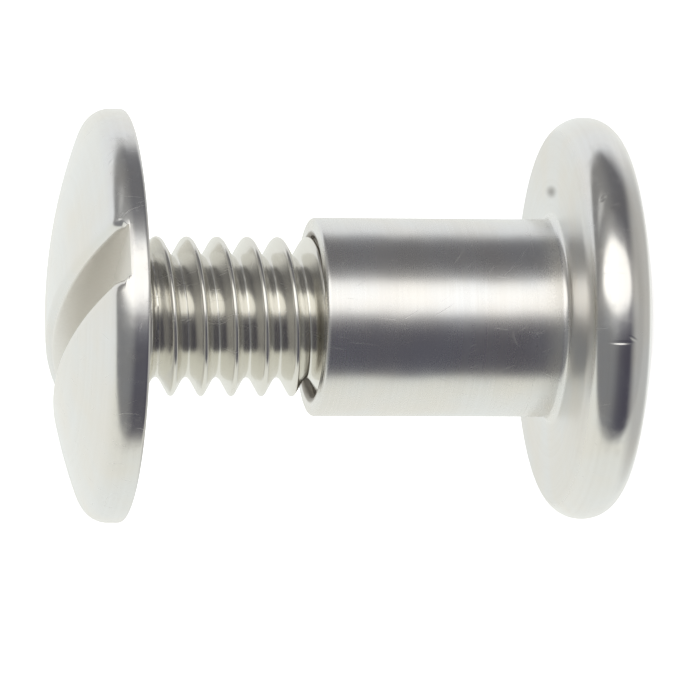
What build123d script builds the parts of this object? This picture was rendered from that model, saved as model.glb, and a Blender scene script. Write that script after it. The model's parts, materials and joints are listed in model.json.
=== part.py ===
from build123d import *
import os
from math import radians, sqrt, tan

# Binding barrel screw. A blind threaded barrel with a domed head takes a short slotted screw in its
# mouth, and the two heads clamp the sheets that the barrel passes through. Each half is one piece of
# nickel-plated steel. Sizes are in millimetres and degrees. Both halves share the Z axis. The barrel
# stands on the crown of its head, which is the origin, with the screw part unscrewed above it.

# Thread: No. 8, 32 turns to the inch, right-hand, 60 degrees between the flanks
pitch = 25.4 / 32
major_radius = 2.07
thread_depth = 0.6134 * pitch
crest_width = pitch / 8
flank_angle = 30
root_radius = major_radius - thread_depth
tap_drill_radius = 1.73
running_clearance = 0.03

# Barrel post
barrel_radius = 2.58
barrel_length = 6.35
barrel_head_radius = 5.25
barrel_head_height = 2.30
barrel_dome_radius = 15.9
barrel_rim_round = 0.80
crown_flat_radius = 1.2
neck_chamfer = 0.20
mouth_chamfer = 0.10
thread_bore_depth = 6.50
drill_depth = 6.80
drill_point_angle = 118

# Slotted screw
screw_head_radius = 5.35
screw_head_height = 1.87
screw_dome_radius = 13.9
screw_rim_round = 0.65
screw_edge_chamfer = 0.09
shank_length = 6.35
shank_neck_radius = 1.80
shank_neck_length = 0.50
shank_root_chamfer = 0.28
run_out_length = 0.25
point_radius = 1.50

# Screwdriver slot, sawn right across the head a little off centre
slot_width = 1.32
slot_floor_thickness = 0.50
slot_angle = 116.6
slot_offset = 0.78
slot_lip_chamfer = 0.15

# Where the screw stands: its head is open_gap above the barrel's mouth, and the crest of its thread
# crosses the XZ plane crest_below_seat under the head
open_gap = 4.96
crest_below_seat = 0.10

# The ridge starts this far inside the core, and what is turned off the screw reaches this far past
# the surface that it leaves, so that no two faces coincide
overlap = 0.05

mouth_z = barrel_head_height + barrel_length
seat_z = mouth_z + open_gap
tip_z = seat_z - shank_length


def domed_head(plane, radius, apex_height, dome_radius, rim_round):
    """Head turned about Z. Its flat underside lies on the plane's x axis, its dome towards its y."""
    edge_height = apex_height - dome_radius + sqrt(dome_radius**2 - radius**2)
    with BuildPart() as head:
        with BuildSketch(plane) as section:
            with BuildLine():
                Polyline((0, apex_height), (0, 0), (radius, 0), (radius, edge_height))
                RadiusArc((radius, edge_height), (0, apex_height), -dome_radius)
            make_face()
            dome_edge = section.vertices().group_by(Axis.X)[-1].sort_by(Axis.Y)[-1]
            fillet(dome_edge, rim_round)
        revolve(axis=Axis.Z)
    return head.part


def thread_turn(start_z):
    """One turn of the thread's ridge, whose crest crosses the XZ plane at start_z."""
    half_crest = crest_width / 2
    half_foot = half_crest + (thread_depth + overlap) * tan(radians(flank_angle))
    with BuildPart() as turn:
        with BuildLine() as path:
            Helix(pitch=pitch, height=pitch, radius=root_radius, center=(0, 0, start_z))
        with BuildSketch(Plane(origin=path.line @ 0, x_dir=(1, 0, 0), z_dir=path.line % 0)):
            with BuildLine():
                Polyline(
                    (-overlap, -half_foot),
                    (-overlap, half_foot),
                    (thread_depth, half_crest),
                    (thread_depth, -half_crest),
                    close=True,
                )
            make_face()
        sweep(path=path.line, is_frenet=True)
    return turn.part


# Barrel post: its head lies crown down, cut flat there, and its barrel is bored from the mouth
crown_sagitta = barrel_dome_radius - sqrt(barrel_dome_radius**2 - crown_flat_radius**2)
barrel_head = domed_head(
    Plane(origin=(0, 0, barrel_head_height), x_dir=(1, 0, 0), z_dir=(0, 1, 0)),
    barrel_head_radius,
    barrel_head_height + crown_sagitta,
    barrel_dome_radius,
    barrel_rim_round,
)

with BuildPart() as barrel_post:
    add(barrel_head)
    split(bisect_by=Plane.XY, keep=Keep.TOP)
    with BuildSketch(Plane.XY.offset(barrel_head_height)):
        Circle(barrel_radius)
    extrude(amount=barrel_length)
    at_underside = barrel_post.edges().filter_by_position(
        Axis.Z, barrel_head_height, barrel_head_height
    )
    neck_edge, rim_edge = at_underside.sort_by(SortBy.RADIUS)
    chamfer(neck_edge, neck_chamfer)
    fillet(rim_edge, barrel_rim_round)
    with Locations((0, 0, mouth_z)):
        CounterBoreHole(
            radius=tap_drill_radius,
            counter_bore_radius=major_radius + running_clearance,
            counter_bore_depth=thread_bore_depth,
            depth=drill_depth,
        )
    with Locations((0, 0, mouth_z - drill_depth)):
        Cone(
            bottom_radius=0,
            top_radius=tap_drill_radius,
            height=tap_drill_radius / tan(radians(drill_point_angle / 2)),
            align=(Align.CENTER, Align.CENTER, Align.MAX),
            mode=Mode.SUBTRACT,
        )
    mouth_rims = barrel_post.edges().filter_by_position(Axis.Z, mouth_z, mouth_z)
    chamfer(mouth_rims, mouth_chamfer)

barrel_post.part.label = "barrel_post"

# Slotted screw: its shank points down into the mouth, and its head lies on top, dome up
screw_head = domed_head(
    Plane(origin=(0, 0, seat_z), x_dir=(1, 0, 0), z_dir=(0, -1, 0)),
    screw_head_radius,
    screw_head_height,
    screw_dome_radius,
    screw_rim_round,
)

# Enough whole turns to pass the shank's tip below and to start above its neck
turn_count = 9
lowest_turn = thread_turn(seat_z - crest_below_seat - turn_count * pitch)

with BuildPart() as slotted_screw:
    with BuildSketch(Plane.XY.offset(seat_z)):
        Circle(root_radius)
    extrude(amount=-shank_length)
    with Locations(*[(0, 0, turn * pitch) for turn in range(turn_count)]):
        add(lowest_turn)

    # Turn off the ridge past the pointed tip, and at the neck, where the thread runs out
    outer = major_radius + overlap
    turned_off = [
        (0, tip_z),
        (point_radius, tip_z),
        (outer, tip_z + outer - point_radius),
        (outer, seat_z - shank_neck_length - run_out_length),
        (shank_neck_radius - overlap, seat_z - shank_neck_length),
        (shank_neck_radius - overlap, seat_z + pitch),
        (screw_head_radius, seat_z + pitch),
        (screw_head_radius, tip_z - 2 * pitch),
        (0, tip_z - 2 * pitch),
    ]
    with BuildSketch(Plane.XZ):
        with BuildLine():
            Polyline(*turned_off, close=True)
        make_face()
    revolve(axis=Axis.Z, mode=Mode.SUBTRACT)

    with BuildSketch(Plane.XY.offset(seat_z)):
        Circle(shank_neck_radius)
    extrude(amount=-shank_neck_length)
    add(screw_head)
    at_seat = slotted_screw.edges().filter_by_position(Axis.Z, seat_z, seat_z)
    shank_edge, head_edge = at_seat.sort_by(SortBy.RADIUS)
    chamfer(shank_edge, shank_root_chamfer)
    chamfer(head_edge, screw_edge_chamfer)

    slot_top = Plane.XY.offset(seat_z + screw_head_height).rotated((0, 0, slot_angle))
    with BuildSketch(slot_top):
        with Locations((0, slot_offset)):
            Rectangle(2 * screw_head_radius, slot_width)
    extrude(amount=slot_floor_thickness - screw_head_height, mode=Mode.SUBTRACT)
    slot_walls = slotted_screw.faces().filter_by(Axis((0, 0, 0), slot_top.y_dir))
    chamfer(slot_walls.edges().filter_by(GeomType.LINE, reverse=True), slot_lip_chamfer)

slotted_screw.part.label = "slotted_screw"

os.makedirs("parts", exist_ok=True)
export_step(barrel_post.part, "parts/barrel_post.step")
export_step(slotted_screw.part, "parts/slotted_screw.step")
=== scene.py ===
"""Looks of the binding barrel screw: two nickel-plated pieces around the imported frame.

Both pieces are turned about Z. Lengths are in metres, angles in radians.
"""

import json
from math import asin, atan2, cos, pi, radians, sin, sqrt, tan

import bmesh
import bpy
from mathutils import Matrix, Vector


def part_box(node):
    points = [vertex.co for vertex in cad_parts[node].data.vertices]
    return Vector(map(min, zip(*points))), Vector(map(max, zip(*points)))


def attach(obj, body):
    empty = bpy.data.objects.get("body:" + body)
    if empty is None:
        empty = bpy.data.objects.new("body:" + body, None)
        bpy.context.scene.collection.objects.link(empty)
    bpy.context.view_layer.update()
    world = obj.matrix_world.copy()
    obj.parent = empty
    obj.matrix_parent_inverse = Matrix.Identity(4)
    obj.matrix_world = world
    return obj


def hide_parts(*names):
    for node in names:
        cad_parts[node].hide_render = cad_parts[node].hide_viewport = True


MM = 0.001
TURN = 2 * pi

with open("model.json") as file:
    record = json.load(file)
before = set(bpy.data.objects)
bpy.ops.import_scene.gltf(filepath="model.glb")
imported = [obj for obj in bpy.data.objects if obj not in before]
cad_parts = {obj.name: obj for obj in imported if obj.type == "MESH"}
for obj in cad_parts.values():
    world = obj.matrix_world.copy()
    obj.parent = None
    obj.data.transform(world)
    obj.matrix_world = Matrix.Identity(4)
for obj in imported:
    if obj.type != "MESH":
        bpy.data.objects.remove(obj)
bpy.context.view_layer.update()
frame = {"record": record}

# ------------------------------------------------------------------ sizes
# Where things are, from the frame
mounts = {mount["name"]: mount for mount in frame["record"]["mounts"]}
barrel_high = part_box("barrel_post")[1]
screw_low, screw_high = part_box("slotted_screw")

barrel_head_radius = barrel_high.x
barrel_radius = mounts["barrel_shank"]["dims"]["r_mm"] * MM
barrel_underside_z = mounts["barrel_head_seat"]["pos_m"][2]
# the mouth stops a hair short of the CAD's, so that the closed screw rests on it and doesn't cut in
seat_gap = 0.002 * MM
mouth_z = barrel_high.z - seat_gap

screw_head_radius = screw_high.x
seat_z = mounts["screw_head_seat"]["pos_m"][2]
tip_z = screw_low.z

# Thread, No. 8-32
pitch = 25.4 / 32 * MM
major_radius = 2.07 * MM
root_radius = major_radius - 0.6134 * pitch
crest_width = pitch / 8
flank_slope = tan(radians(30))
crest_below_seat = 0.10 * MM

# Barrel post
barrel_dome_radius = 15.9 * MM
barrel_rim_round = 0.80 * MM
crown_flat_radius = 1.2 * MM
neck_fillet = 0.18 * MM
mouth_round = 0.10 * MM
bore_radius = 2.10 * MM
bore_depth = 6.50 * MM
drill_radius = 1.73 * MM
drill_depth = 6.80 * MM
drill_point_angle = radians(118)
nut_ridge_radius = 1.83 * MM
nut_ridge_width = 0.10 * MM

# Slotted screw
screw_dome_radius = 13.9 * MM
screw_dome_height = 1.87 * MM
screw_rim_round = 0.65 * MM
screw_edge_round = 0.09 * MM
neck_radius = 1.80 * MM
neck_length = 0.50 * MM
shank_fillet = 0.28 * MM
run_out_length = 0.25 * MM
point_radius = 1.50 * MM
slot_width = 1.32 * MM
slot_floor_height = 0.50 * MM
slot_angle = radians(116.6)
slot_offset = 0.78 * MM
slot_lip = 0.24 * MM
# how far above the slot's floor the lips have grown to their full size, at the rim
slot_lip_fade = 0.20 * MM

# Mesh fineness: steps round the Z axis, down a dome, and round each kind of rounded edge
STEPS_ROUND = 192
BARREL_DOME_STEPS = 40
SCREW_DOME_STEPS = 48
RIM_STEPS = 16
FILLET_STEPS = 10
EDGE_STEPS = 6
LIP_STEPS = 5
# Points this close are welded, and an edge is sharp from this angle
WELD = 2e-8
SHARP_ANGLE = radians(32)


# ------------------------------------------------------------------ camera
def make_camera():
    """Looks at the object from the front and a little above, rolled to lay the screw's head left."""
    distance_out = 168.6 * MM
    height = 37.97 * MM
    target = Vector((-0.856 * MM, 0, 7.60 * MM))
    roll = radians(0.25)
    data = bpy.data.cameras.new("camera")
    data.sensor_width = 36
    data.lens = 339
    data.clip_start = 10 * MM
    camera = bpy.data.objects.new("camera", data)
    bpy.context.scene.collection.objects.link(camera)
    place = Vector((target.x, -distance_out, height))
    back = (place - target).normalized()
    up = Vector((1, 0, 0))
    right = up.cross(back).normalized()
    up = back.cross(right)
    right, up = right * cos(roll) + up * sin(roll), up * cos(roll) - right * sin(roll)
    turn = Matrix((right, up, back)).transposed()
    camera.matrix_world = Matrix.Translation(place) @ turn.to_4x4()
    bpy.context.scene.camera = camera


make_camera()


# ------------------------------------------------------------------ mesh building
class Skin:
    """Collects sheets of quads and welds them into one closed mesh."""

    def __init__(self):
        self.points = []
        self.faces = []

    def sheet(self, rows):
        """Quads between rows of points that all have the same length."""
        width = len(rows[0])
        start = len(self.points)
        for row in rows:
            self.points.extend(row)
        for j in range(len(rows) - 1):
            for i in range(width - 1):
                a = start + j * width + i
                self.faces.append((a, a + 1, a + 1 + width, a + width))

    def face(self, points):
        """One flat face with these corners."""
        start = len(self.points)
        self.points.extend(points)
        self.faces.append(tuple(range(start, len(self.points))))

    def piece(self, name, body, node, slot, material):
        """Makes the welded mesh an object that rides on the body and stands for the node."""
        mesh = bpy.data.meshes.new(name)
        mesh.from_pydata([tuple(point) for point in self.points], [], self.faces)
        welded = bmesh.new()
        welded.from_mesh(mesh)
        bmesh.ops.remove_doubles(welded, verts=welded.verts, dist=WELD)
        bmesh.ops.dissolve_degenerate(welded, edges=welded.edges, dist=WELD)
        bmesh.ops.recalc_face_normals(welded, faces=welded.faces)
        welded.to_mesh(mesh)
        welded.free()
        mesh.shade_smooth()
        mesh.set_sharp_from_angle(angle=SHARP_ANGLE)
        mesh.materials.append(material)
        piece = bpy.data.objects.new(name, mesh)
        bpy.context.scene.collection.objects.link(piece)
        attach(piece, body)
        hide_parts(node)


def even(low, high, count):
    """count + 1 values from low to high."""
    return [low + (high - low) * i / count for i in range(count + 1)]


def smooth(value):
    """Eases from 0 to 1 as value goes from 0 to 1."""
    value = min(1, max(0, value))
    return value * value * (3 - 2 * value)


def ring(radius, z, angles):
    return [Vector((radius * cos(angle), radius * sin(angle), z)) for angle in angles]


round_angles = even(0, TURN, STEPS_ROUND)


def arc(centre_r, centre_z, radius, start, end, steps):
    """Profile points (r, z) round an arc, by angle from +r towards +z."""
    return [
        (centre_r + radius * cos(angle), centre_z + radius * sin(angle))
        for angle in even(start, end, steps)
    ]


def straight(start, end, steps=4, hold=0.03 * MM):
    """Profile points along a straight line, with one close to each end to hold the shading flat."""
    start, end = Vector(start), Vector(end)
    length = (end - start).length
    inset = min(hold / length, 0.25)
    return [tuple(start.lerp(end, t)) for t in (0, *even(inset, 1 - inset, steps), 1)]


# ------------------------------------------------------------------ thread
# Turns past each end, where the rows are flattened into the end
SPARE_TURNS = 3


def thread_outline():
    """Half of one pitch, from the crest's middle: offsets along Z and heights above the root."""
    depth = major_radius - root_radius
    half_crest = crest_width / 2
    half_foot = half_crest + depth * flank_slope
    # how far along Z the edge of the crest and the foot of the flank are rounded, to each side
    crest_soft = 0.035 * MM
    root_soft = 0.07 * MM
    points = [(0, depth)]
    for t in even(0, 1, 3):
        fall = crest_soft * t * t / flank_slope
        points.append((half_crest - crest_soft + 2 * crest_soft * t, depth - fall))
    for t in even(0.2, 0.7, 2):
        points.append((half_crest + (half_foot - half_crest) * t, depth * (1 - t)))
    for t in even(1, 0, 4):
        points.append((half_foot + root_soft - 2 * root_soft * t, root_soft * t * t / flank_slope))
    points.append((pitch / 2, 0))
    return points


def screw_thread_rows(low_z, high_z):
    """Rows of the external thread's surface, which follow its helix and stop flat at both ends."""
    outline = thread_outline()
    one_turn = outline + [(pitch - offset, height) for offset, height in reversed(outline[1:-1])]
    first = seat_z - crest_below_seat
    turns_down = int((first - low_z) / pitch) + SPARE_TURNS
    rows = []
    for turn in range(-turns_down, SPARE_TURNS):
        for offset, height in one_turn:
            row = []
            for angle in round_angles:
                z = first + turn * pitch + offset + pitch * angle / TURN
                radius = root_radius + height
                z = min(high_z, max(low_z, z))
                radius = min(radius, point_radius + (z - tip_z))
                fade = smooth((z - high_z + run_out_length) / run_out_length)
                radius += (neck_radius - radius) * fade
                row.append(Vector((radius * cos(angle), radius * sin(angle), z)))
            rows.append(row)
    return rows


def nut_thread_rows(low_z, high_z):
    """Rows of the internal thread in the bore. It fades out at both ends."""
    depth = bore_radius - nut_ridge_radius
    half_tip = nut_ridge_width / 2
    half_foot = half_tip + depth * flank_slope
    # offsets from the ridge's middle, close together at its tip's edge and at its foot
    marks = [0, half_tip * 0.8, half_tip, half_tip + (half_foot - half_tip) * 0.5, half_foot * 0.98]
    marks += [half_foot, half_foot * 1.06, pitch / 2]
    one_turn = marks + [pitch - mark for mark in reversed(marks[1:-1])]
    # an eighth of a pitch below the middle of the screw's groove, clear of it at rest and when closed
    first = seat_z - crest_below_seat + (1 / 2 - 1 / 8) * pitch
    fade_length = 0.35 * MM
    turns_down = int((first - low_z) / pitch) + SPARE_TURNS
    turns_up = int((high_z - first) / pitch) + SPARE_TURNS
    rows = []
    for turn in range(-turns_down, turns_up):
        for mark in one_turn:
            beside = max(0, min(mark, pitch - mark) - half_tip)
            height = max(0, depth - beside / flank_slope)
            row = []
            for angle in round_angles:
                z = first + turn * pitch + mark + pitch * angle / TURN
                z = min(high_z, max(low_z, z))
                fade = smooth((z - low_z) / fade_length) * smooth((high_z - z) / fade_length)
                radius = bore_radius - height * fade
                row.append(Vector((radius * cos(angle), radius * sin(angle), z)))
            rows.append(row)
    return rows


# ------------------------------------------------------------------ heads
def rim_centre(radius, dome_radius, apex, rim_round):
    """Middle (r, height) of the round that touches the dome from inside and the edge of the head."""
    r = radius - rim_round
    return r, apex - dome_radius + sqrt((dome_radius - rim_round) ** 2 - r**2)


def dome_profile(radius, dome_radius, apex, rim_round, inner, dome_steps):
    """Points (r, height) down a dome from r = inner and round its rim to its edge."""
    centre = apex - dome_radius
    round_r, round_height = rim_centre(radius, dome_radius, apex, rim_round)
    lean = asin(round_r / (dome_radius - rim_round))
    first = asin(inner / dome_radius)
    points = [
        (dome_radius * sin(angle), centre + dome_radius * cos(angle))
        for angle in even(first, lean, dome_steps)
    ]
    points += arc(round_r, round_height, rim_round, pi / 2 - lean, 0, RIM_STEPS)[1:]
    return points


# ------------------------------------------------------------------ barrel
def make_barrel(material):
    skin = Skin()
    crown_sagitta = barrel_dome_radius - sqrt(barrel_dome_radius**2 - crown_flat_radius**2)
    apex = barrel_underside_z + crown_sagitta
    dome = dome_profile(
        barrel_head_radius,
        barrel_dome_radius,
        apex,
        barrel_rim_round,
        crown_flat_radius,
        BARREL_DOME_STEPS,
    )
    underside = barrel_underside_z
    outside = [(0, 0), (crown_flat_radius * 0.98, 0)]
    outside += [(r, underside - height) for r, height in dome]
    round_r = barrel_head_radius - barrel_rim_round
    round_z = underside - barrel_rim_round
    outside += arc(round_r, round_z, barrel_rim_round, 0, pi / 2, RIM_STEPS)
    foot = barrel_radius + neck_fillet
    outside += straight((round_r, underside), (foot, underside))[1:]
    outside += arc(foot, underside + neck_fillet, neck_fillet, -pi / 2, -pi, FILLET_STEPS)[1:]
    lip = mouth_z - mouth_round
    outside += straight((barrel_radius, underside + neck_fillet), (barrel_radius, lip), 10)[1:]
    outside += arc(barrel_radius - mouth_round, lip, mouth_round, 0, pi / 2, EDGE_STEPS)[1:]
    inner_lip = bore_radius + mouth_round
    outside += straight((barrel_radius - mouth_round, mouth_z), (inner_lip, mouth_z), 2)[1:]
    outside += arc(inner_lip, lip, mouth_round, pi / 2, pi, EDGE_STEPS)[1:]
    skin.sheet([ring(r, z, round_angles) for r, z in outside])

    bore_foot = mouth_z - bore_depth
    skin.sheet(nut_thread_rows(bore_foot, lip))
    drilled = mouth_z - drill_depth
    point = drill_radius / tan(drill_point_angle / 2)
    inside = straight((bore_radius, bore_foot), (drill_radius, bore_foot), 2)
    inside += straight((drill_radius, bore_foot), (drill_radius, drilled), 2)[1:]
    inside += straight((drill_radius, drilled), (0, drilled - point), 4)[1:]
    skin.sheet([ring(r, z, round_angles) for r, z in inside])
    skin.piece("barrel_half", "barrel", "barrel_post", "barrel_nickel", material)


# ------------------------------------------------------------------ screw
slot_along = Vector((cos(slot_angle), sin(slot_angle), 0))
slot_across = Vector((-sin(slot_angle), cos(slot_angle), 0))


def in_slot_frame(along, across, z):
    return slot_along * along + slot_across * across + Vector((0, 0, z))


def cap_rows(side, wall, profile, floor_z, steps):
    """One of the two caps that the slot leaves: rows of its dome and the strips of its slot lips.

    side is +1 or -1 across the slot, and wall is how far out the slot's wall stands on that side.
    profile runs outward and down to the slot's floor.
    """
    rows, lips = [], {+1: [], -1: []}
    for k, (r, z) in enumerate(profile):
        lip = slot_lip * smooth((z - floor_z) / slot_lip_fade)
        near = wall + lip
        half = sqrt(max(0, r * r - near * near))
        begin = atan2(near, half)
        rows.append(
            [
                in_slot_frame(r * cos(angle), side * r * sin(angle), z)
                for angle in even(begin, pi - begin, steps)
            ]
        )
        before, after = profile[max(0, k - 1)], profile[min(len(profile) - 1, k + 1)]
        slope = Vector((after[0] - before[0], after[1] - before[1])).normalized()
        normal_r, normal_z = -slope.y, slope.x
        for end in (+1, -1):
            tilt = Vector((normal_r * end * half / r, normal_z)).normalized()
            strip = []
            for turn in even(0, pi / 2, LIP_STEPS):
                drop = lip * (1 - cos(turn))
                strip.append(
                    in_slot_frame(
                        end * half - tilt.x * drop,
                        side * (near - lip * sin(turn)),
                        z - tilt.y * drop,
                    )
                )
            lips[end].append(strip)
    return rows, lips


def make_screw(material):
    skin = Skin()
    edge = screw_head_radius
    floor_z = seat_z + slot_floor_height

    # where the slot's floor meets the rim's round
    head = (edge, screw_dome_radius, screw_dome_height, screw_rim_round)
    round_r, round_height = rim_centre(*head)
    rise = asin((slot_floor_height - round_height) / screw_rim_round)
    rim_at_floor = round_r + screw_rim_round * cos(rise)

    wall_far = slot_offset + slot_width / 2
    wall_near = slot_offset - slot_width / 2
    corner_far = asin(wall_far / rim_at_floor)
    corner_near = asin(wall_near / rim_at_floor)
    spans = [
        (corner_near, corner_far),
        (corner_far, pi - corner_far),
        (pi - corner_far, pi - corner_near),
        (pi - corner_near, TURN + corner_near),
    ]
    counts = [round(STEPS_ROUND * (end - begin) / TURN) for begin, end in spans]
    counts[3] += STEPS_ROUND - sum(counts)
    head_angles = [corner_near]
    for (begin, end), count in zip(spans, counts):
        head_angles += even(begin, end, count)[1:]
    # the head's rings start at the slot's corner, so the shank's start there too
    turned = [angle + slot_angle for angle in head_angles]

    # the shank, from its point to its neck
    neck_z = seat_z - neck_length
    skin.sheet(screw_thread_rows(tip_z, neck_z))
    skin.sheet([ring(r, tip_z, round_angles) for r in (0, point_radius * 0.5, point_radius)])
    neck = straight((neck_radius, neck_z), (neck_radius, seat_z - shank_fillet), 2)
    foot_r = neck_radius + shank_fillet
    neck += arc(foot_r, seat_z - shank_fillet, shank_fillet, pi, pi / 2, FILLET_STEPS)[1:]
    skin.sheet([ring(r, z, round_angles) for r, z in neck])

    # the underside: its inner ring is the shank's, and its outer rings are the head's
    edge_r = edge - screw_edge_round
    edge_z = seat_z + screw_edge_round
    under = straight((foot_r, seat_z), (edge_r, seat_z), 4)
    begin_step = round(turned[0] / TURN * STEPS_ROUND)
    shank_ring = [(begin_step + i) * TURN / STEPS_ROUND for i in range(STEPS_ROUND + 1)]
    rows = []
    for k, (r, z) in enumerate(under):
        share = k / (len(under) - 1)
        angles = [a + (b - a) * share for a, b in zip(shank_ring, turned)]
        rows.append(ring(r, z, angles))
    skin.sheet(rows)
    side_wall = arc(edge_r, edge_z, screw_edge_round, -pi / 2, 0, EDGE_STEPS)
    side_wall += straight(side_wall[-1], (edge, seat_z + round_height), 2)[1:]
    side_wall += arc(round_r, seat_z + round_height, screw_rim_round, 0, rise, EDGE_STEPS)[1:]
    skin.sheet([ring(r, z, turned) for r, z in side_wall])

    # the two caps, the slot's walls and its floor
    floors = {}
    for side, wall, count in ((+1, wall_far, counts[1]), (-1, -wall_near, counts[3])):
        profile = dome_profile(*head, wall + slot_lip, SCREW_DOME_STEPS)
        upper = [(r, seat_z + height) for r, height in profile if height > slot_floor_height]
        upper.append((rim_at_floor, floor_z))
        rows, lips = cap_rows(side, wall, upper, floor_z, count)
        skin.sheet(rows)
        floors[side] = {}
        for end in (+1, -1):
            skin.sheet(lips[end])
            tops = [strip[-1] for strip in lips[end]]
            feet = [Vector((top.x, top.y, floor_z)) for top in tops]
            skin.sheet([[top.lerp(foot, t) for t in (0, 0.5, 1)] for top, foot in zip(tops, feet)])
            floors[side][end] = feet
    for end, (begin, finish), count in ((+1, spans[0], counts[0]), (-1, spans[2], counts[2])):
        far, near = floors[+1][end], floors[-1][end]
        skin.sheet([[a.lerp(b, t) for t in (0, 0.5, 1)] for a, b in zip(far, near)])
        curve = [
            in_slot_frame(rim_at_floor * cos(a), rim_at_floor * sin(a), floor_z)
            for a in even(begin, finish, count)
        ]
        middle = far[-1].lerp(near[-1], 0.5)
        skin.face(curve + [middle])
    skin.piece("screw_half", "screw", "slotted_screw", "screw_nickel", material)


# ------------------------------------------------------------------ materials
class Graph:
    """Short ways to add nodes to a material or a world. Values are sockets, numbers or tuples."""

    def __init__(self, tree):
        self.nodes = tree.nodes
        self.links = tree.links

    def add(self, kind, inputs, output=0, **settings):
        """A node with its settings and its inputs, by name or place. Returns one of its outputs."""
        node = self.nodes.new(kind)
        for name, setting in settings.items():
            setattr(node, name, setting)
        for key, value in inputs.items():
            self.set(node.inputs[key], value)
        return node if output is None else node.outputs[output]

    def set(self, socket, value):
        if isinstance(value, bpy.types.NodeSocket):
            self.links.new(value, socket)
        else:
            socket.default_value = value

    def math(self, operation, *values):
        return self.add("ShaderNodeMath", dict(enumerate(values)), operation=operation)

    def total(self, values):
        result = values[0]
        for value in values[1:]:
            result = self.math("ADD", result, value)
        return result

    def weighted(self, values):
        """The sum of (value, weight) pairs."""
        return self.total([self.math("MULTIPLY", value, weight) for value, weight in values])

    def reach(self, along, across, half_along, half_across):
        """Distance from the middle of an ellipse, as a share of the distance to its edge."""
        along = self.math("DIVIDE", along, half_along)
        across = self.math("DIVIDE", across, half_across)
        across = self.math("MULTIPLY", across, across)
        return self.math("SQRT", self.math("MULTIPLY_ADD", along, along, across))

    def dot(self, vector, direction):
        inputs = {0: vector, 1: direction}
        return self.add("ShaderNodeVectorMath", inputs, "Value", operation="DOT_PRODUCT")

    def length(self, vector):
        return self.add("ShaderNodeVectorMath", {0: vector}, "Value", operation="LENGTH")

    def fade(self, value, low, high, bottom=0, top=1):
        """Eases from bottom to top as value goes from low to high."""
        inputs = {"Value": value, "From Min": low, "From Max": high, "To Min": bottom, "To Max": top}
        return self.add("ShaderNodeMapRange", inputs, interpolation_type="SMOOTHSTEP")

    def placed(self, vector, location=(0, 0, 0), rotation=(0, 0, 0), scale=(1, 1, 1)):
        """The vector seen from a frame that is moved, turned and scaled."""
        inputs = {"Vector": vector, "Location": location, "Rotation": rotation, "Scale": scale}
        return self.add("ShaderNodeMapping", inputs, vector_type="TEXTURE")

    def noise(self, vector, scale, detail=2, roughness=0.5):
        """Noise of about -1 to 1, with scale cells to each unit of the vector."""
        inputs = {"Vector": vector, "Scale": scale, "Detail": detail, "Roughness": roughness}
        value = self.add("ShaderNodeTexNoise", inputs)
        return self.math("MULTIPLY_ADD", value, 4, -2)

    def mix(self, factor, first, second):
        """Mixes two numbers."""
        inputs = {"Factor": factor, "A": first, "B": second}
        return self.add("ShaderNodeMix", inputs)

    def blend(self, factor, first, second):
        """Mixes two colours."""
        node = self.nodes.new("ShaderNodeMix")
        node.data_type = "RGBA"
        for place, value in ((0, factor), (6, first), (7, second)):
            self.set(node.inputs[place], value)
        return node.outputs[2]


def colour(red, green, blue):
    return (red, green, blue, 1)


PER_MM = 1000
MICRON = 1e-6

COOL_NICKEL = colour(0.79, 0.795, 0.79)
WARM_NICKEL = colour(0.80, 0.775, 0.73)
ROLLED_NICKEL = colour(0.79, 0.775, 0.72)
SAWN_NICKEL = colour(0.89, 0.87, 0.83)
WORN_NICKEL = colour(0.66, 0.62, 0.55)
BORED_STEEL = colour(0.42, 0.39, 0.35)
PIT = colour(0.22, 0.20, 0.18)

# Roughness of each surface
BARREL_DOME_ROUGH = 0.15
BARREL_UNDERSIDE_ROUGH = 0.36
BARREL_ROUGH = 0.27
BORE_ROUGH = 0.45
SCREW_ROUGH = 0.20
SLOT_ROUGH = 0.40

# How wavy the surfaces are, in microns
HEAD_WAVES = 1.2
BARREL_WAVES = 4.0
THREAD_WAVES = 3.0

# Dents on the rims: angle in degrees from the front, distance in from the rim, height, size, tilt,
# and depth in microns. Heights are from the floor on the barrel and from the seat on the screw.
BARREL_NICKS = [
    (-7, 0, 1.55, (0.07, 0.5, 0.42), 0, 9),
    (-6, 0, 1.2, (0.06, 0.5, 0.2), 0.5, 6),
    (-19, 0.1, 1.85, (0.09, 0.4, 0.09), 0, 7),
    (36, 0.1, 1.8, (0.16, 0.5, 0.10), 0.7, 8),
    (33, 0, 1.5, (0.08, 0.5, 0.22), -0.4, 7),
]
SCREW_NICKS = [
    (160, 0, 0.5, (0.07, 0.5, 0.3), 0, 6),
    (48, 0.1, 0.8, (0.12, 0.4, 0.08), 0.5, 6),
]


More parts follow.
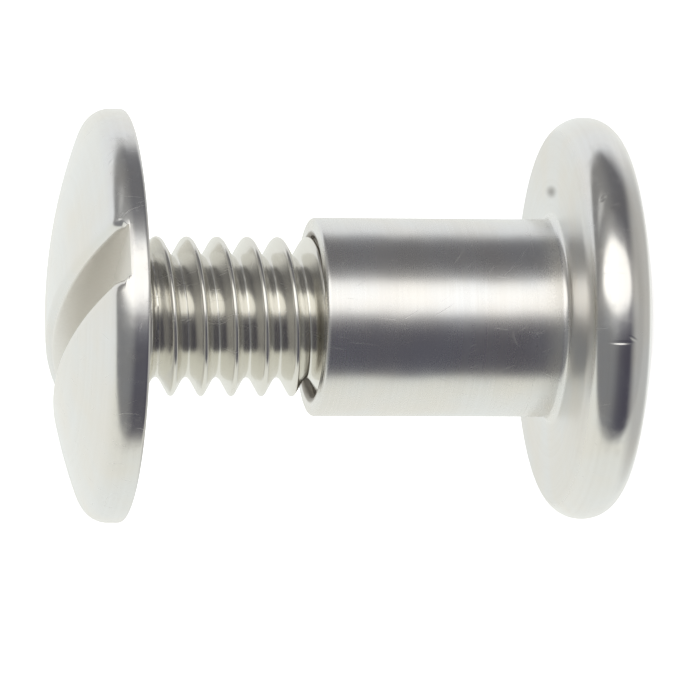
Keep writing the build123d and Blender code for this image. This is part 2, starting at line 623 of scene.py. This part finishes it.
class Nickel:
    """Nickel plate worn by handling. Position and lengths in its graph are in millimetres."""

    def __init__(self, name):
        self.material = bpy.data.materials.new(name)
        self.material.use_nodes = True
        self.graph = graph = Graph(self.material.node_tree)
        self.shader = self.material.node_tree.nodes["Principled BSDF"]
        place = graph.add("ShaderNodeTexCoord", {}, "Object")
        inputs = {0: place, "Scale": PER_MM}
        self.place = graph.add("ShaderNodeVectorMath", inputs, operation="SCALE")
        parts = graph.nodes.new("ShaderNodeSeparateXYZ")
        graph.set(parts.inputs[0], self.place)
        self.height = parts.outputs["Z"]
        flat = {"X": parts.outputs["X"], "Y": parts.outputs["Y"]}
        self.radius = graph.length(graph.add("ShaderNodeCombineXYZ", flat))
        self.turned = graph.add("ShaderNodeCombineXYZ", {"X": self.radius, "Z": self.height})

    def inside(self, radius, blur):
        """1 within the radius, 0 beyond it."""
        return self.graph.fade(self.radius, radius - blur / 2, radius + blur / 2, 1, 0)

    def below(self, height, blur):
        """1 below the height, 0 above it."""
        return self.graph.fade(self.height, height - blur / 2, height + blur / 2, 1, 0)

    def scratches(self):
        """Hairlines in three directions, each about 0.03 mm wide and a millimetre or two long."""
        graph = self.graph
        lines = []
        for turn, tilt in ((0.35, 0.2), (1.45, -0.5), (2.55, 0.9)):
            across = graph.placed(self.place, rotation=(tilt, tilt / 2, turn), scale=(0.035, 1.3, 1.3))
            lines.append(graph.fade(graph.noise(across, 1, 1), 0.95, 1.15))
        return graph.math("MINIMUM", graph.total(lines), 1)

    def nick(self, angle, radius, height, size, tilt=0):
        """A spot or dent, 1 at its middle. angle is in degrees from the front towards +X, and size is
        along the tangent, along the radius and along Z.
        """
        turn = radians(angle) - pi / 2
        middle = (radius * cos(turn), radius * sin(turn), height)
        near = self.graph.placed(self.place, middle, (0, tilt, turn + pi / 2), size)
        return self.graph.fade(self.graph.length(near), 0, 1, 1, 0)

    def dents(self, nicks, rim_radius, base_height):
        """Depth in microns of a list of nicks on a rim."""
        return self.graph.weighted(
            [
                (self.nick(angle, rim_radius - inset, base_height + height, size, tilt), depth)
                for angle, inset, height, size, tilt, depth in nicks
            ]
        )

    def cloudy(self):
        """Nickel that is warmer in some places than in others."""
        cloud = self.graph.fade(self.graph.noise(self.place, 0.5, 3), -0.8, 0.8)
        return self.graph.blend(cloud, COOL_NICKEL, WARM_NICKEL)

    def pits(self):
        """Rare specks where the plate is pitted."""
        graph = self.graph
        node = graph.nodes.new("ShaderNodeTexVoronoi")
        graph.set(node.inputs["Vector"], self.place)
        graph.set(node.inputs["Scale"], 1.1)
        speck = graph.fade(node.outputs["Distance"], 0.025, 0.055, 1, 0)
        chosen = graph.fade(graph.dot(node.outputs["Color"], (1, 0, 0)), 0.72, 0.74)
        return graph.math("MULTIPLY", speck, chosen)

    def finish(self, tint, roughness, waviness, rim_radius, dents, stain=0):
        """Sets the shader from the tint and roughness of its parts, and from its marks."""
        graph = self.graph
        cloud = graph.noise(self.place, 0.45, 3, 0.6)
        lines = graph.noise(self.turned, 9, 3, 0.7)
        grain = graph.noise(self.place, 22, 2)
        scratches = self.scratches()
        pits = self.pits()
        patches = graph.fade(graph.noise(self.place, 2.6, 4, 0.7), -0.2, 0.9)
        near_rim = graph.fade(self.radius, rim_radius - 0.7, rim_radius - 0.05)
        worn = graph.math("MULTIPLY", near_rim, patches)

        turning = graph.math("MULTIPLY", graph.fade(lines, -1, 1), 0.12)
        tint = graph.blend(turning, tint, WORN_NICKEL)
        tint = graph.blend(graph.math("MULTIPLY", stain, 0.55), tint, PIT)
        tint = graph.blend(graph.math("MULTIPLY", pits, 0.8), tint, PIT)
        graph.set(self.shader.inputs["Base Color"], tint)

        rougher = graph.weighted(
            [
                (cloud, 0.02),
                (lines, 0.015),
                (grain, 0.006),
                (scratches, 0.10),
                (worn, 0.09),
                (pits, 0.3),
                (stain, 0.2),
            ]
        )
        graph.set(self.shader.inputs["Roughness"], graph.math("ADD", roughness, rougher))

        # in microns
        relief = graph.weighted(
            [
                (graph.noise(self.place, 0.9, 1), waviness),
                (lines, 0.12),
                (grain, 0.012),
                (scratches, -0.5),
                (pits, -3),
                (dents, -1),
            ]
        )
        bump = graph.add("ShaderNodeBump", {"Height": relief, "Distance": MICRON})
        graph.set(self.shader.inputs["Normal"], bump)
        self.shader.inputs["Metallic"].default_value = 1
        return self.material


def barrel_nickel():
    """The dome is polished, the underside and the barrel are satin, and the bore is bare steel."""
    nickel = Nickel("barrel_nickel")
    graph = nickel.graph
    shank_radius = barrel_radius * PER_MM
    shank = nickel.inside(shank_radius + 0.2, 0.25)
    bore = nickel.inside(bore_radius * PER_MM + 0.12, 0.1)
    underside_z = barrel_underside_z * PER_MM
    underside = graph.fade(nickel.height, underside_z - 0.22, underside_z - 0.04)
    tint = graph.blend(bore, nickel.cloudy(), BORED_STEEL)
    roughness = graph.mix(underside, BARREL_DOME_ROUGH, BARREL_UNDERSIDE_ROUGH)
    roughness = graph.mix(shank, roughness, BARREL_ROUGH)
    roughness = graph.mix(bore, roughness, BORE_ROUGH)
    waviness = graph.mix(shank, HEAD_WAVES, BARREL_WAVES)
    rim = barrel_head_radius * PER_MM
    dents = nickel.dents(BARREL_NICKS, rim, 0)
    # a dark spot on the underside, beside the barrel
    stain = nickel.nick(88, 3.3, underside_z, (0.9, 0.22, 0.1))
    return nickel.finish(tint, roughness, waviness, rim, dents, stain)


def screw_nickel():
    """The head is polished, the thread is warmer from rolling, and the slot is sawn."""
    nickel = Nickel("screw_nickel")
    graph = nickel.graph
    shank = nickel.below(seat_z * PER_MM - 0.02, 0.04)
    across = graph.dot(nickel.place, slot_across)
    from_middle = graph.math("ABSOLUTE", graph.math("SUBTRACT", across, slot_offset * PER_MM))
    half_slot = slot_width / 2 * PER_MM
    between_walls = graph.fade(from_middle, half_slot - 0.01, half_slot + 0.03, 1, 0)
    floor_z = (seat_z + slot_floor_height) * PER_MM
    above_floor = graph.fade(nickel.height, floor_z - 0.1, floor_z - 0.02)
    slot = graph.math("MULTIPLY", between_walls, above_floor)
    tint = graph.blend(shank, nickel.cloudy(), ROLLED_NICKEL)
    tint = graph.blend(slot, tint, SAWN_NICKEL)
    roughness = graph.mix(slot, SCREW_ROUGH, SLOT_ROUGH)
    waviness = graph.mix(shank, HEAD_WAVES, THREAD_WAVES)
    rim = screw_head_radius * PER_MM
    dents = nickel.dents(SCREW_NICKS, rim, seat_z * PER_MM)
    return nickel.finish(tint, roughness, waviness, rim, dents)


make_barrel(barrel_nickel())
make_screw(screw_nickel())


# ------------------------------------------------------------------ stage
FLOOR_REACH = 0.5
FLOOR_GLOW = 0.8


def make_floor():
    """A pale floor that takes the object's shadow, and that the metal doesn't reflect."""
    mesh = bpy.data.meshes.new("floor")
    near, far = -FLOOR_REACH, FLOOR_REACH
    corners = [(near, near, 0), (far, near, 0), (far, far, 0), (near, far, 0)]
    mesh.from_pydata(corners, [], [(0, 1, 2, 3)])
    floor = bpy.data.objects.new("floor", mesh)
    bpy.context.scene.collection.objects.link(floor)
    material = bpy.data.materials.new("floor")
    material.use_nodes = True
    material.node_tree.nodes.clear()
    graph = Graph(material.node_tree)
    diffuse = graph.add("ShaderNodeBsdfDiffuse", {"Color": colour(0.9, 0.9, 0.9)})
    # white to the camera, where the object's shadow doesn't fall
    seen = graph.add("ShaderNodeLightPath", {}, "Is Camera Ray")
    glow = graph.add("ShaderNodeEmission", {"Strength": graph.math("MULTIPLY", seen, FLOOR_GLOW)})
    both = graph.add("ShaderNodeAddShader", {0: diffuse, 1: glow})
    graph.add("ShaderNodeOutputMaterial", {"Surface": both}, None)
    mesh.materials.append(material)
    floor.visible_glossy = False


make_floor()

# The surroundings that the metal reflects are a white table behind the object and a dim room in
# front of it. The table faces the room along room_facing, and room_right is level and square to it,
# towards +X. Left is towards -X.
room_turn = radians(21)
room_facing = Vector((sin(room_turn), -cos(room_turn), 0))
room_right = Vector((cos(room_turn), sin(room_turn), 0))

TABLE = colour(0.93, 0.95, 0.92)
TABLE_EDGE_LEFT = colour(0.87, 0.885, 0.84)
TABLE_EDGE_RIGHT = colour(0.90, 0.915, 0.93)
ROOM_LOW_LEFT = colour(0.082, 0.080, 0.106)
ROOM_LOW_RIGHT = colour(0.15, 0.15, 0.165)
ROOM_HIGH_LEFT = colour(0.235, 0.24, 0.25)
ROOM_HIGH_RIGHT = colour(0.27, 0.27, 0.27)
BELOW = colour(0.52, 0.52, 0.51)
LAMP = colour(1, 1, 0.98)
WHITE = colour(1, 1, 1)

# A tall lamp with a soft glow round it. Its upper part leans to the right.
LAMP_HALF_WIDTH = radians(22.5)
LAMP_HALF_HEIGHT = radians(47)
LAMP_TURN = radians(2.5)
LAMP_RISE = radians(13)
LAMP_LEAN = 0.1
LAMP_STRENGTH = 0.9
GLOW_STRENGTH = 0.35

# A small faint window, high on the right
WINDOW_TURN = radians(55)
WINDOW_RISE = radians(38)
WINDOW_HALF_WIDTH = radians(6)
WINDOW_HALF_HEIGHT = radians(16)
WINDOW_STRENGTH = 0.3


def make_world():
    """Lights the object and is what the metal reflects, but is plain white to the camera."""
    world = bpy.data.worlds.new("studio")
    bpy.context.scene.world = world
    world.use_nodes = True
    world.node_tree.nodes.clear()
    graph = Graph(world.node_tree)
    way = graph.add("ShaderNodeTexCoord", {}, "Generated")
    facing = graph.dot(way, room_facing)
    aside = graph.dot(way, room_right)
    rise = graph.dot(way, (0, 0, 1))

    right_side = graph.fade(aside, -0.4, 0.4)
    edge = graph.blend(right_side, TABLE_EDGE_LEFT, TABLE_EDGE_RIGHT)
    table = graph.blend(graph.fade(facing, -1, 0), TABLE, edge)
    # the room is dim, and a little less so above the level of the object
    low_room = graph.blend(right_side, ROOM_LOW_LEFT, ROOM_LOW_RIGHT)
    high_room = graph.blend(right_side, ROOM_HIGH_LEFT, ROOM_HIGH_RIGHT)
    room = graph.blend(graph.fade(rise, -0.35, 0.45), low_room, high_room)
    # the table's edge is soft below on the right, and sharp elsewhere
    low_right = graph.math("MULTIPLY", right_side, graph.fade(rise, 0, -0.4))
    soft = graph.mix(low_right, 0.12, 0.42)
    start = graph.math("MULTIPLY_ADD", soft, -0.5, graph.mix(right_side, -0.10, 0))
    finish = graph.math("ADD", start, graph.math("MULTIPLY", soft, 1.5))
    around = graph.blend(graph.fade(facing, start, finish), table, room)
    # well below the object it is grey all round
    around = graph.blend(graph.fade(rise, -0.45, -0.85, 0, 0.9), around, BELOW)

    turn = graph.math("ARCTAN2", aside, facing)
    height = graph.math("ARCSINE", rise)
    leaning = graph.math("MULTIPLY_ADD", height, -LAMP_LEAN, -LAMP_TURN)
    lamp_reach = graph.reach(
        graph.math("SUBTRACT", height, LAMP_RISE),
        graph.math("ADD", turn, leaning),
        LAMP_HALF_HEIGHT,
        LAMP_HALF_WIDTH,
    )
    window_reach = graph.reach(
        graph.math("SUBTRACT", height, WINDOW_RISE),
        graph.math("SUBTRACT", turn, WINDOW_TURN),
        WINDOW_HALF_HEIGHT,
        WINDOW_HALF_WIDTH,
    )
    strength = graph.total(
        [
            graph.fade(lamp_reach, 1.15, 0.85, 0, LAMP_STRENGTH),
            graph.fade(lamp_reach, 1.9, 0.5, 0, GLOW_STRENGTH),
            graph.fade(window_reach, 1.5, 0.5, 0, WINDOW_STRENGTH),
        ]
    )
    lights = graph.add("ShaderNodeBackground", {"Color": LAMP, "Strength": strength})
    around = graph.add("ShaderNodeBackground", {"Color": around})
    lit = graph.add("ShaderNodeAddShader", {0: around, 1: lights})

    # white to the camera
    white = graph.add("ShaderNodeBackground", {"Color": WHITE})
    seen = graph.add("ShaderNodeLightPath", {}, "Is Camera Ray")
    picked = graph.add("ShaderNodeMixShader", {0: seen, 1: lit, 2: white})
    graph.add("ShaderNodeOutputWorld", {"Surface": picked}, None)


make_world()
bpy.context.scene.view_settings.view_transform = "Standard"
